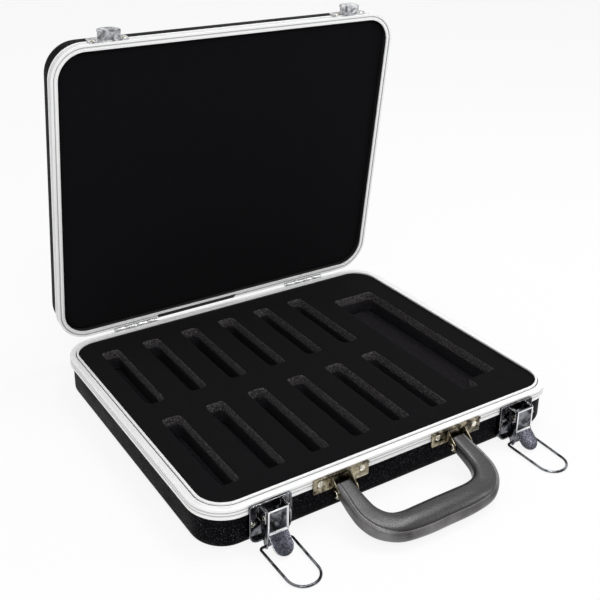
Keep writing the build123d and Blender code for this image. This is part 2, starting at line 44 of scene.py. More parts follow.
# The case's own sizes, the same as the CAD's; the lid's rim is given as it lies when shut
case = {
    "halfX": 180.0, "halfY": 147.5, "cornerR": 31.0, "baseRim": 38.0, "lidRim": 38.2,
    "hingeY": 149.5, "hingeZ": 38.1, "lidOpenDegrees": 82.6,
}
hingeSpot = Vector((0.0, case["hingeY"], case["hingeZ"])) * mm
lidMatrix = (Matrix.Translation(hingeSpot)
             @ Matrix.Rotation(math.radians(-case["lidOpenDegrees"]), 4, "X")
             @ Matrix.Translation(-hingeSpot))


# sRGB hex to linear RGBA
def linear(colour):
    parts = [int(colour[i:i + 2], 16) / 255 for i in (1, 3, 5)]
    return [p / 12.92 if p <= 0.04045 else ((p + 0.055) / 1.055) ** 2.4 for p in parts] + [1.0]


def addNode(tree, kind, inputs=None, **settings):
    node = tree.nodes.new(kind)
    for name, value in settings.items():
        setattr(node, name, value)
    for name, value in (inputs or {}).items():
        if isinstance(value, bpy.types.NodeSocket):
            tree.links.new(value, node.inputs[name])
        else:
            node.inputs[name].default_value = value
    return node


# The result of a math node over sockets or numbers
def compute(tree, operation, *values):
    return addNode(tree, "ShaderNodeMath", dict(enumerate(values)), operation=operation).outputs[0]


def computeVector(tree, operation, *values):
    node = addNode(tree, "ShaderNodeVectorMath", dict(enumerate(values)), operation=operation)
    return node.outputs["Value" if operation in ("LENGTH", "DOT_PRODUCT") else "Vector"]


def between(tree, value, low, high):      # 1 where the value lies between the two, else 0
    return compute(tree, "MULTIPLY", compute(tree, "GREATER_THAN", value, low),
                   compute(tree, "LESS_THAN", value, high))


# Maps one span of values onto another, and holds at its ends
def spread(tree, value, span, result=(0.0, 1.0), **settings):
    return addNode(tree, "ShaderNodeMapRange", {
        "Value": value, "From Min": span[0], "From Max": span[1], "To Min": result[0],
        "To Max": result[1]}, **settings).outputs["Result"]


# A material, its tree, its shader and its Object coordinates
def startMaterial(name, colour, roughness, metallic=0.0, **sockets):
    material = bpy.data.materials.new(name)
    material.use_nodes = True
    tree = material.node_tree
    tree.nodes.clear()
    shader = addNode(tree, "ShaderNodeBsdfPrincipled", {
        "Base Color": linear(colour), "Roughness": roughness, "Metallic": metallic, **sockets})
    addNode(tree, "ShaderNodeOutputMaterial", {"Surface": shader.outputs["BSDF"]})
    spot = addNode(tree, "ShaderNodeTexCoord").outputs["Object"]
    return material, tree, shader, spot


# A ramp from the first colour to the second while the factor crosses the span
def ramp(tree, factor, span, colours):
    node = addNode(tree, "ShaderNodeValToRGB", {"Fac": factor})
    for element, position, colour in zip(node.color_ramp.elements, span, colours):
        element.position = position
        element.color = linear(colour)
    return node.outputs["Color"]


def mixIn(tree, factor, under, colour):
    return addNode(tree, "ShaderNodeMix", {"Factor": factor, "A": under, "B": linear(colour)},
                   data_type="RGBA").outputs["Result"]


def addNoise(tree, spot, scale, detail=2.0, **inputs):
    return addNode(tree, "ShaderNodeTexNoise", {"Vector": spot, "Scale": scale, "Detail": detail,
                                                **inputs}).outputs["Fac"]


def addBump(tree, shader, height, strength, depth):
    bump = addNode(tree, "ShaderNodeBump", {"Height": height, "Strength": strength,
                                            "Distance": depth * mm})
    tree.links.new(bump.outputs["Normal"], shader.inputs["Normal"])


# Injection-moulded ABS from a spark-eroded tool: black, with fine pale specks painted where its
# pebbles would catch a lamp (painted highlights), and patches that are a little glossier
shellFinish = {
    "dark": "#070608", "light": "#0f0e11", "tintSpan": (0.1, 0.6),
    "roughness": 0.4, "smoother": 0.08, "rougher": 0.1, "gloss": 0.015,
    "pebble": 1.05, "finePerPebble": 2.0, "pebbleStrength": 0.9, "pebbleDepth": 0.14,
    "blotch": 30.0, "blotchDetail": 3.0, "blotchSpan": (0.3, 0.7), "blotchPull": 0.35,
    # the pale colour of the painted glints on the pebbles' crowns
    "paintedGlint": "#56545c", "crownSpan": (0.3, 0.16), "pickPerPebble": 0.9,
    "pickSpan": (0.63, 0.796),
}


def mouldedAbs():
    f = shellFinish
    material, tree, shader, spot = startMaterial("mouldedAbs", f["dark"], f["roughness"], **{
        "Specular IOR Level": f["gloss"]})
    scale = perMetre / f["pebble"]
    pebble = addNode(tree, "ShaderNodeTexVoronoi", {"Vector": spot, "Scale": scale},
                     feature="SMOOTH_F1").outputs["Distance"]
    fine = addNoise(tree, spot, scale * f["finePerPebble"])
    addBump(tree, shader, compute(tree, "ADD", pebble, fine), f["pebbleStrength"],
            f["pebbleDepth"])
    blotch = addNoise(tree, spot, perMetre / f["blotch"], f["blotchDetail"])
    tint = ramp(tree, pebble, f["tintSpan"], (f["light"], f["dark"]))
    # a painted glint is the crown of a pebble that a noise picks; it picks more of them in some
    # patches
    crown = spread(tree, pebble, f["crownSpan"])
    pick = compute(tree, "ADD", addNoise(tree, spot, scale * f["pickPerPebble"]),
                   compute(tree, "MULTIPLY", blotch, f["blotchPull"]))
    paintedGlint = compute(tree, "MULTIPLY", crown, spread(tree, pick, f["pickSpan"]))
    # the picked crowns are painted in the pale glint colour: painted highlights
    tree.links.new(mixIn(tree, paintedGlint, tint, f["paintedGlint"]), shader.inputs["Base Color"])
    tree.links.new(spread(tree, blotch, f["blotchSpan"],
                          (f["roughness"] - f["smoother"], f["roughness"] + f["rougher"])),
                   shader.inputs["Roughness"])
    return material


# Drawn aluminium, clear anodised: nearly white and mostly dull under its oxide, with a fine grain
# the way it was drawn. The grooves of the die's two lines on the outer face and a band on the
# lid's rim are painted grey as shade, and the inner side below the rim is painted nearly black as
# shade
frameFinish = {
    # the grey is painted shade in the die's grooves; the near black is painted shade on the inner
    # side
    "bright": "#fbfbfa", "dull": "#eeefef", "line": "#a9aaab", "innerShade": "#2c2b2b",
    "roughness": 0.32, "smoother": 0.03, "rougher": 0.04, "metal": 0.14,
    "grain": 0.9, "grainDetail": 3.0, "grainSpan": (0.3, 0.62), "grainStrength": 0.4,
    "grainDepth": 0.004, "wearScale": 25.0, "wearSpan": (0.35, 0.65),
    "lineDepths": (2.7, 5.3), "lineWidth": 1.1, "outerFace": 30.3,
}
# Reaches are outwards from the middle of a corner's arc, depths are from the rim
# where the inner side is painted near black as shade, and where the lid's rim band is painted grey
frameInside = {
    "base": {"innerShadeReach": 26.0, "innerShadeDepth": 0.25},
    "lid": {"innerShadeReach": 25.3, "innerShadeDepth": 1.2, "rimGrooveShade": (28.0, 29.0), "rimGrooveShadeDepth": 0.9},
}


def anodisedAluminium(name, part):
    f, inside, standing = frameFinish, frameInside[part], part == "lid"
    material, tree, shader, spot = startMaterial(name, f["bright"], f["roughness"], f["metal"])
    if standing:      # the lid's pattern is drawn as if it were shut
        spot = addNode(tree, "ShaderNodeVectorRotate", {
            "Vector": spot, "Center": hingeSpot,
            "Angle": math.radians(case["lidOpenDegrees"])}, rotation_type="X_AXIS").outputs[0]
    # where the corners' arcs begin, in metres; the last value keeps the height out of the reach
    straight = ((case["halfX"] - case["cornerR"]) * mm, (case["halfY"] - case["cornerR"]) * mm,
                1.0)
    past = computeVector(tree, "SUBTRACT", computeVector(tree, "ABSOLUTE", spot), straight)
    outside = computeVector(tree, "MAXIMUM", past, (0, 0, 0))
    reach = compute(tree, "MULTIPLY", computeVector(tree, "LENGTH", outside), perMetre)
    height = compute(tree, "MULTIPLY", addNode(tree, "ShaderNodeSeparateXYZ", {
        0: spot}).outputs["Z"], perMetre)
    if standing:
        depth = compute(tree, "SUBTRACT", height, case["lidRim"])
    else:
        depth = compute(tree, "SUBTRACT", case["baseRim"], height)

    drawnWay = compute(tree, "MULTIPLY", compute(tree, "ADD", reach, height), 1 / f["grain"])
    grain = addNode(tree, "ShaderNodeTexNoise", {
        "W": drawnWay, "Scale": 1.0, "Detail": f["grainDetail"]},
        noise_dimensions="1D").outputs["Fac"]
    tint = ramp(tree, grain, f["grainSpan"], (f["dull"], f["bright"]))

    half = f["lineWidth"] / 2
    levels = [between(tree, depth, level - half, level + half) for level in f["lineDepths"]]
    lines = compute(tree, "MULTIPLY", compute(tree, "MAXIMUM", *levels),
                    compute(tree, "GREATER_THAN", reach, f["outerFace"]))
    # a band on the lid's rim is painted grey as well: painted shade
    if "rimGrooveShade" in inside:
        rimGrooveShade = compute(tree, "MULTIPLY", between(tree, reach, *inside["rimGrooveShade"]),
                          compute(tree, "LESS_THAN", depth, inside["rimGrooveShadeDepth"]))
        lines = compute(tree, "MAXIMUM", lines, rimGrooveShade)
    # the inner side below the rim is painted near black: painted shade
    innerShade = compute(tree, "MULTIPLY", compute(tree, "LESS_THAN", reach, inside["innerShadeReach"]),
                  compute(tree, "GREATER_THAN", depth, inside["innerShadeDepth"]))
    # the grooves and the rim band are painted grey: painted shade
    grooveShaded = mixIn(tree, lines, tint, f["line"])
    tree.links.new(mixIn(tree, innerShade, grooveShaded, f["innerShade"]), shader.inputs["Base Color"])
    addBump(tree, shader, grain, f["grainStrength"], f["grainDepth"])
    tree.links.new(spread(tree, addNoise(tree, spot, f["wearScale"]), f["wearSpan"],
                          (f["roughness"] - f["smoother"], f["roughness"] + f["rougher"])),
                   shader.inputs["Roughness"])
    return material


# Polyurethane foam: no shine, tiny open cells; its cut walls are rougher and paler than its face
foamFinish = {"roughness": 1.0, "gloss": 0.05, "sheenRoughness": 0.7, "cellStrength": 0.8,
              "fuzzPerCell": 0.7, "fuzzDetail": 5.0, "fuzzRoughness": 0.7,
              "tintSpan": (0.08, 0.42)}


def polyurethaneFoam(name, dark, light, depth, cell, haze):
    f = foamFinish
    material, tree, shader, spot = startMaterial(name, dark, f["roughness"], **{
        "Specular IOR Level": f["gloss"], "Sheen Weight": haze,
        "Sheen Roughness": f["sheenRoughness"]})
    scale = perMetre / cell
    cells = addNode(tree, "ShaderNodeTexVoronoi", {"Vector": spot, "Scale": scale})
    fuzz = addNoise(tree, spot, scale * f["fuzzPerCell"], f["fuzzDetail"],
                    Roughness=f["fuzzRoughness"])
    mixed = compute(tree, "MULTIPLY", cells.outputs["Distance"], fuzz)
    tree.links.new(ramp(tree, mixed, f["tintSpan"], (dark, light)), shader.inputs["Base Color"])
    addBump(tree, shader, mixed, f["cellStrength"], depth)
    return material


# Plated steel: a mirror with slight waves, in two tones along a streak noise. On the chromed
# flats, the lever's tab and the nickel flats the dark tones are painted reflections
platedFinish = {"waveDetail": 1.0, "waveStrength": 0.3, "waveDepth": 0.2,
                "streakDetail": 3.0, "streakDistortion": 0.6, "streakSpan": (0.38, 0.66),
                "hazeScale": 300.0, "hazeSpan": (0.35, 0.7), "smoother": 0.8, "rougher": 1.4}


def platedSteel(name, pale, deep, roughness, wave, mottle, metal=1.0):
    f = platedFinish
    material, tree, shader, spot = startMaterial(name, pale, roughness, metal)
    sweep = addNoise(tree, spot, perMetre / wave, f["waveDetail"])
    addBump(tree, shader, sweep, f["waveStrength"], f["waveDepth"])
    streak = addNoise(tree, spot, perMetre / mottle, f["streakDetail"],
                      Distortion=f["streakDistortion"])
    tree.links.new(ramp(tree, streak, f["streakSpan"], (deep, pale)),
                   shader.inputs["Base Color"])
    tree.links.new(spread(tree, addNoise(tree, spot, f["hazeScale"]), f["hazeSpan"],
                          (roughness * f["smoother"], roughness * f["rougher"])),
                   shader.inputs["Roughness"])
    return material


# Moulded nylon: dark grey with a soft wide sheen and a faint spark-eroded skin
handleFinish = {
    # the rim colour is painted paler than the body: a painted highlight
    "dark": "#1d1b1c", "light": "#272425", "rim": "#757374", "roughness": 0.29,
    "smoother": 0.05, "rougher": 0.09, "gloss": 0.62,
    "skin": 0.9, "skinDetail": 3.0, "skinSpan": (0.3, 0.7), "skinStrength": 0.6,
    "skinDepth": 0.05, "flowScale": 30.0, "flowDetail": 3.0, "flowSpan": (0.35, 0.65),
}


def mouldedNylon(name, dark, light):
    f = handleFinish
    material, tree, shader, spot = startMaterial(name, dark, f["roughness"], **{
        "Specular IOR Level": f["gloss"]})
    skin = addNoise(tree, spot, perMetre / f["skin"], f["skinDetail"])
    addBump(tree, shader, skin, f["skinStrength"], f["skinDepth"])
    flow = addNoise(tree, spot, f["flowScale"], f["flowDetail"])
    tree.links.new(ramp(tree, flow, f["flowSpan"], (dark, light)), shader.inputs["Base Color"])
    tree.links.new(spread(tree, skin, f["skinSpan"],
                          (f["roughness"] - f["smoother"], f["roughness"] + f["rougher"])),
                   shader.inputs["Roughness"])
    return material


# Extruded PVC strip: dull black with faint lengthwise streaks
stripFinish = {"plain": "#0c0b0c", "dark": "#070607", "light": "#161516", "roughness": 0.6,
               "streakScale": (60.0, 2500.0, 2500.0), "streakSpan": (0.4, 0.7)}


def extrudedPvc():
    f = stripFinish
    material, tree, shader, spot = startMaterial("extrudedPvc", f["plain"], f["roughness"])
    long = addNode(tree, "ShaderNodeMapping", {"Vector": spot, "Scale": f["streakScale"]})
    streak = addNoise(tree, long.outputs[0], 1.0)
    tree.links.new(ramp(tree, streak, f["streakSpan"], (f["dark"], f["light"])),
                   shader.inputs["Base Color"])
    return material


# Foam: name, dark, light, depth of its cells, size of a cell, haze.
# Steel: name, pale, deep, roughness, size of a wave and of a streak, and how far it is metal
finishes = {
    "shell": mouldedAbs(),
    "baseFrame": anodisedAluminium("anodisedAluminiumBase", "base"),
    "lidFrame": anodisedAluminium("anodisedAluminiumLid", "lid"),
    "foamFace": polyurethaneFoam("skinnedFoam", "#070608", "#100f11", 0.1, 1.1, 0.015),
    "foamWall": polyurethaneFoam("cutFoam", "#0b0a0b", "#5e5b5b", 0.9, 1.5, 0.03),
    "foamDeep": polyurethaneFoam("deepFoam", "#171518", "#2b292c", 0.4, 1.3, 0.0),
    "lidPad": polyurethaneFoam("paddingFoam", "#09080a", "#0f0d10", 0.12, 1.0, 0.01),
    "chrome": platedSteel("chromedSteel", "#fbfbfb", "#e6e7ea", 0.24, 14.0, 9.0),
    # dark flats streaked mid grey to near black: painted reflections inside pale chrome edges
    "chromeFlat": platedSteel("chromeFlatsPaintedReflection", "#7d7e84", "#17171a", 0.12, 14.0, 6.0),
    # near-black chrome on a catch's edges: painted shade round its pale flats
    "chromeDark": platedSteel("catchEdgesPaintedShade", "#232325", "#0b0b0c", 0.3, 9.0, 5.0),
    "wire": platedSteel("drawnSteelWire", "#96989d", "#2e2f33", 0.14, 16.0, 7.0),
    "catchFlat": platedSteel("catchChrome", "#e9eaec", "#66676c", 0.18, 10.0, 5.0, 0.55),
    # the lever's tab in dark blue-grey: a painted reflection
    "chromeTab": platedSteel("chromeTabPaintedReflection", "#73747f", "#26262c", 0.3, 8.0, 0.9),
    # near-white nickel edges are painted highlights; the flats' dark streaks are painted
    # reflections
    "bracket": platedSteel("nickelEdgesPaintedHighlight", "#fffbf2", "#f3ecda", 0.28, 10.0, 8.0),
    "bracketFlat": platedSteel("nickelFlatsPaintedReflection", "#b8ae95", "#352f23", 0.22, 10.0, 7.0),
    "rivet": platedSteel("nickelRivet", "#f7f4ec", "#a79f8d", 0.12, 6.0, 3.0),
    # dark grey on the hinge leaves' edges: painted shade round their pale flats
    "hingeEdge": platedSteel("hingeEdgesPaintedShade", "#4a4a4c", "#1b1b1c", 0.3, 8.0, 5.0),
    "hinge": platedSteel("zincPlatedSteel", "#eeeeee", "#cfd0d1", 0.3, 8.0, 7.0),
    "handle": mouldedNylon("mouldedNylon", handleFinish["dark"], handleFinish["light"]),
    # the handle's rim in a paler nylon: a painted highlight
    "handleRim": mouldedNylon("handleRimPaintedLight", handleFinish["light"], handleFinish["rim"]),
    "strip": extrudedPvc(),
}
print("materials made:", len(finishes))


def newObject(name, mesh, *materials):
    piece = bpy.data.objects.new(name, mesh)
    bpy.context.scene.collection.objects.link(piece)
    for material in materials:
        mesh.materials.append(material)
    return piece


# Edges that turn by more than this many degrees stay sharp in shading; none turns by allSmooth
sharpTurn = 35.0
allSmooth = 180.0


# Turns the evaluated piece into a plain mesh, shaded smooth between its sharp edges
def settle(piece, sharpDegrees=sharpTurn):
    bpy.context.view_layer.update()
    solid = bpy.data.meshes.new_from_object(piece.evaluated_get(
        bpy.context.evaluated_depsgraph_get()))
    piece.modifiers.clear()
    piece.data = solid
    for polygon in solid.polygons:
        polygon.use_smooth = True
    solid.set_sharp_from_angle(angle=math.radians(sharpDegrees))
    return piece


def place(piece, body, slot, *nodes):
    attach(piece, body)
    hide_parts(*nodes)


def addModifier(piece, kind, **settings):
    modifier = piece.modifiers.new(kind.lower(), kind)
    for name, value in settings.items():
        setattr(modifier, name, value)
    return modifier


# A copy of a CAD node's mesh with its doubles merged and its flat faces joined
merging = {"distance": 0.002, "flatDegrees": 0.3}


def mergedCopy(node):
    mesh = bpy.data.objects[node].data.copy()
    mesh.materials.clear()
    for name in ("custom_normal", "sharp_face", "sharp_edge"):
        if name in mesh.attributes:
            mesh.attributes.remove(mesh.attributes[name])
    work = bmesh.new()
    work.from_mesh(mesh)
    distance = merging["distance"] * mm
    bmesh.ops.remove_doubles(work, verts=work.verts, dist=distance)
    bmesh.ops.dissolve_degenerate(work, edges=work.edges, dist=distance)
    bmesh.ops.dissolve_limit(work, verts=work.verts, edges=work.edges,
                             angle_limit=math.radians(merging["flatDegrees"]))
    work.to_mesh(mesh)
    work.free()
    return mesh


# Metal and moulded parts: the CAD's own shapes with their edges broken, as (width, segments)
edges = {"shell": (0.5, 3), "frame": (0.3, 2), "press": (0.45, 2), "leaf": (0.2, 2),
         "wire": (0.0, 0), "outline": (0.7, 2)}
brokenFrom = 30.0       # degrees; edges that turn by less aren't broken
# The finish of a pressing's flats, by that of its edges; a catch and a hinge leaf have dark edges
# round pale flats. Each is one plating painted in two tones: pale edges as painted highlights
# round darker flats, and dark edges as painted shade round pale flats
flats = {"chrome": "chromeFlat", "bracket": "bracketFlat", "chromeDark": "catchFlat",
         "hingeEdge": "hinge"}
dressed = [
    # name, node, body, record slot, finish, edge
    ("shellBase", "base_shell", "base", "shell_plastic", "shell", "shell"),
    ("shellLid", "lid_shell", "lid", "shell_plastic", "shell", "shell"),
    ("frameBase", "base_frame", "base", "frame_aluminium", "baseFrame", "frame"),
    ("frameLid", "lid_frame", "lid", "frame_aluminium", "lidFrame", "frame"),
    ("edgeStrip", "lid_edge_strip", "lid", "edge_strip", "strip", "leaf"),
]
for sideName in ("left", "right"):
    tail = sideName.capitalize()
    dressed += [
        ("hingeLeafBase" + tail, f"hinge_base_leaf_{sideName}", "base", "hinge_steel", "hingeEdge",
         "press"),
        ("hingeLeafLid" + tail, f"hinge_lid_leaf_{sideName}", "lid", "hinge_steel", "hingeEdge",
         "press"),
        ("hingePin" + tail, f"hinge_pin_{sideName}", "base", "hinge_steel", "hinge", "leaf"),
        ("latchTray" + tail, f"latch_plate_{sideName}", "base", "latch_chrome", "chrome",
         "press"),
        ("latchPin" + tail, f"latch_pin_{sideName}", "base", "rivet_nickel", "rivet", "leaf"),
        ("latchLever" + tail, f"latch_lever_{sideName}", f"lever_{sideName}", "latch_chrome",
         "chrome", "press"),
        ("latchLoop" + tail, f"latch_bail_{sideName}", f"loop_{sideName}", "latch_chrome",
         "wire", "wire"),
        ("catch" + tail, f"catch_{sideName}", "lid", "latch_chrome", "chromeDark",
         "outline"),
        ("handleBracket" + tail, f"handle_bracket_{sideName}", "base", "bracket_nickel",
         "bracket", "press"),
        ("handlePin" + tail, f"handle_pin_{sideName}", "base", "bracket_nickel", "bracket",
         "press"),
    ]

leverPanel = {"inset": 1.9, "wall": 0.3, "depth": 0.45, "y": -160.1, "near": 0.1,
              "facing": 0.95, "tabTop": 13.9, "tabOut": 1.0}


# The lever's front is pressed in a little, and its tab is painted dark blue-grey as a painted
# reflection; both are found by their place
def dressLever(mesh):
    p = leverPanel
    work = bmesh.new()
    work.from_mesh(mesh)
    front = []
    for face in work.faces:
        middle = face.calc_center_median() / mm
        upright = face.normal.y < -p["facing"] and abs(middle.y - p["y"]) < p["near"]
        if upright and middle.z > p["tabTop"]:
            front.append(face)
    rim = bmesh.ops.inset_region(work, faces=front, thickness=p["inset"] * mm, depth=0)
    bmesh.ops.inset_region(work, faces=front, thickness=p["wall"] * mm, depth=-p["depth"] * mm)
    # the pressed panel's rim takes the pale chrome edge finish: a painted highlight
    for face in rim["faces"]:
        face.material_index = 1
    for face in work.faces:
        middle = face.calc_center_median() / mm
        # the tab is painted dark blue-grey: a painted reflection
        if middle.z < p["tabTop"] and middle.y < p["y"] - p["tabOut"]:
            face.material_index = 2
    work.to_mesh(mesh)
    work.free()
    print("lever panel faces:", len(front))


# The strip comes out flush with the lid's rim and laps over its slot's upper lip
stripCover = {"rise": 0.86, "lip": 1.0, "rimSide": 39.5, "lipSide": 146.0}


def widenStrip(mesh):
    cover = stripCover
    shut = lidMatrix.inverted()
    for vertex in mesh.vertices:
        spot = shut @ vertex.co
        if spot.y < cover["lipSide"] * mm:
            spot.y -= cover["lip"] * mm
        if spot.z < cover["rimSide"] * mm:
            spot.z -= cover["rise"] * mm
        vertex.co = lidMatrix @ spot


for name, node, body, slot, finish, edge in dressed:
    width, segments = edges[edge]
    twoTone = finish in flats and edge in ("press", "outline")
    mesh = mergedCopy(node)
    if twoTone:
        piece = newObject(name, mesh, finishes[flats[finish]], finishes[finish])
    else:
        piece = newObject(name, mesh, finishes[finish])
    if name.startswith("latchLever"):
        mesh.materials.append(finishes["chromeTab"])
        dressLever(mesh)
    if name == "edgeStrip":
        widenStrip(mesh)
    if segments:
        addModifier(piece, "BEVEL", width=width * mm, segments=segments, limit_method="ANGLE",
                    angle_limit=math.radians(brokenFrom), use_clamp_overlap=True,
                    material=1 if twoTone else -1)
    place(settle(piece), body, slot, node)
print("hard parts dressed:", len(dressed))


# Foam: gridded blocks with slots cut in them, soft at every edge
closestLines = 0.2


def lineUp(low, high, cuts, soft, step):      # grid lines, with one each side of every cut
    marks = {low, low + soft, high - soft, high}
    for a, b in cuts:
        marks |= {a - soft, a, b, b + soft}
    marks = sorted(marks)
    lines = [marks[0]]
    for mark in marks[1:]:
        gap = mark - lines[-1]
        if gap < closestLines:
            continue
        parts = max(1, math.ceil(gap / step))
        start = lines[-1]
        lines += [start + gap * (k + 1) / parts for k in range(parts)]
    return lines


# A sheet with rounded corners and slots cut right through it
def foamMesh(name, shape, slots):
    halfX, halfY, corner = shape["halfX"], shape["halfY"], shape["corner"]
    soft, edge = shape["soft"], shape.get("edge", 0.0)
    xs = lineUp(-halfX, halfX, [(s[0], s[1]) for s in slots], soft, shape["step"])
    ys = lineUp(-halfY, halfY, [(s[2], s[3]) for s in slots], soft, shape["step"])

    def rounded(x, y):
        u = max(0.0, (abs(x) - (halfX - corner)) / corner)
        v = max(0.0, (abs(y) - (halfY - corner)) / corner)
        if u > 0 and v > 0:
            x = math.copysign(halfX - corner + corner * u * math.sqrt(1 - v * v / 2), x)
            y = math.copysign(halfY - corner + corner * v * math.sqrt(1 - u * u / 2), y)
        return x, y

    def slotted(i, j):
        x, y = (xs[i] + xs[i + 1]) / 2, (ys[j] + ys[j + 1]) / 2
        return any(a < x < b and c < y < d for a, b, c, d in slots)

    work = bmesh.new()
    spots = {}
    top, bottom = shape["top"], shape["bottom"]
    heights = [bottom, bottom + max(soft, edge), top - soft, top]

    def vert(i, j, z):
        key = (i, j, round(z, 3))
        if key not in spots:
            x, y = rounded(xs[i], ys[j])
            if edge and z == bottom:      # the far edge is rounded like the shell's inside
                x -= math.copysign(max(0.0, edge - (halfX - abs(xs[i]))), x)
                y -= math.copysign(max(0.0, edge - (halfY - abs(ys[j]))), y)
            spots[key] = work.verts.new((x * mm, y * mm, z * mm))
        return spots[key]

    columns, rows = len(xs) - 1, len(ys) - 1
    solid = [[not slotted(i, j) for j in range(rows)] for i in range(columns)]
    for i in range(columns):
        for j in range(rows):
            ring = ((i, j), (i + 1, j), (i + 1, j + 1), (i, j + 1))
            if not solid[i][j]:
                continue
            work.faces.new([vert(a, b, top) for a, b in ring])
            work.faces.new([vert(a, b, bottom) for a, b in reversed(ring)])
            for k, (di, dj) in enumerate(((0, -1), (1, 0), (0, 1), (-1, 0))):
                inside = 0 <= i + di < columns and 0 <= j + dj < rows
                if inside and solid[i + di][j + dj]:
                    continue
                (a, b), (c, d) = ring[k], ring[(k + 1) % 4]
                for low, high in zip(heights, heights[1:]):
                    work.faces.new([vert(c, d, low), vert(a, b, low), vert(a, b, high),
                                    vert(c, d, high)][::-1])
    bmesh.ops.recalc_face_normals(work, faces=work.faces)
    mesh = bpy.data.meshes.new(name)
    work.to_mesh(mesh)
    work.free()
    return mesh


def roughen(mesh, amount, grain, seed):      # moves each point a little along its normal
    shift = Vector((seed, 0.0, 0.0))
    for vertex, normal in zip(mesh.vertices, [n.vector.copy() for n in mesh.vertex_normals]):
        value = noise.noise(vertex.co / (grain * mm) + shift)
        vertex.co += normal * value * amount * mm


harmonicaSlots = {"width": 17.5, "length": 103.5, "pitch": 41.7, "firstX": -142.3,
                  "columns": 6, "rowY": 65.25}
longSlot = {"left": 101.0, "right": 149.0, "front": -98.5, "back": 92.0,
            "notchWidth": 16.0, "notchLength": 12.5, "overlap": 0.01}


def cutSlots():      # every slot as (left, right, front, back)
    h, s = harmonicaSlots, longSlot
    slots = []
    for row in (-1, 1):
        for column in range(h["columns"]):
            x, y = h["firstX"] + column * h["pitch"], row * h["rowY"]
            slots.append((x - h["width"] / 2, x + h["width"] / 2,
                          y - h["length"] / 2, y + h["length"] / 2))
    slots.append((s["left"], s["right"], s["front"], s["back"]))
    slots.append((s["left"], s["left"] + s["notchWidth"], s["front"] - s["notchLength"],
                  s["front"] + s["overlap"]))
    return slots


foams = {
    "foamSheet": {"node": "foam_top_sheet", "slot": "foam_sheet", "halfX": 171.7,
                  "halfY": 139.2, "corner": 22.7, "top": 36.8, "bottom": 26.85, "soft": 0.9,
                  "step": 9.0, "face": "foamFace", "wall": "foamWall", "wave": 0.25},
    "foamMiddle": {"node": "foam_middle_sheet", "slot": "foam_block", "halfX": 174.4,
                   "halfY": 141.9, "corner": 25.4, "top": 26.75, "bottom": 14.85, "soft": 0.9,
                   "step": 12.0, "face": "foamDeep", "wall": "foamDeep", "wave": 0.25},
    "foamBottom": {"node": "foam_bottom_sheet", "slot": "foam_block", "halfX": 174.4,
                   "halfY": 141.9, "corner": 25.4, "top": 14.75, "bottom": 2.6, "soft": 1.0,
                   "step": 14.0, "face": "foamDeep", "wall": "foamDeep", "wave": 0.2,
                   "plain": True, "edge": 4.5},
    "lidPad": {"node": "lid_foam_pad", "slot": "foam_pad", "halfX": 173.6, "halfY": 141.1,
               "corner": 24.6, "top": -43.0, "bottom": -66.0, "soft": 2.0, "step": 14.0,
               "face": "lidPad", "wall": "lidPad", "wave": 0.5, "plain": True, "lid": True,
               "edge": 4.5},
}
foamWaves = {"grain": 9.0, "seedStep": 7.0}
wallSlope = 0.5       # a face whose normal rises by less than this is a wall
for index, (name, shape) in enumerate(foams.items()):
    mesh = foamMesh(name, shape, [] if shape.get("plain") else cutSlots())
    piece = newObject(name, mesh, finishes[shape["face"]], finishes[shape["wall"]])
    for polygon in mesh.polygons:
        polygon.material_index = int(abs(polygon.normal.z) < wallSlope)
    addModifier(piece, "SUBSURF", levels=1, render_levels=1)
    settle(piece, allSmooth)
    roughen(piece.data, shape["wave"], foamWaves["grain"], index * foamWaves["seedStep"])
    if shape.get("lid"):    # drawn facing up, then turned over and put where the lid stands
        piece.data.transform(lidMatrix @ Matrix.Rotation(math.pi, 4, "X"))
    place(piece, "lid" if shape.get("lid") else "base", shape["slot"], shape["node"])
print("foam cut")


# Rivets: one dimpled head set on every seat by geometry nodes
rivetHead = {"radius": 2.7, "height": 1.1, "dimpleRadius": 1.1, "dimpleDepth": 0.5, "foot": 0.15}
rivetBall = {"segments": 28, "rings": 14}
falloffBase = 2.718       # the dimple fades outwards like a bell curve


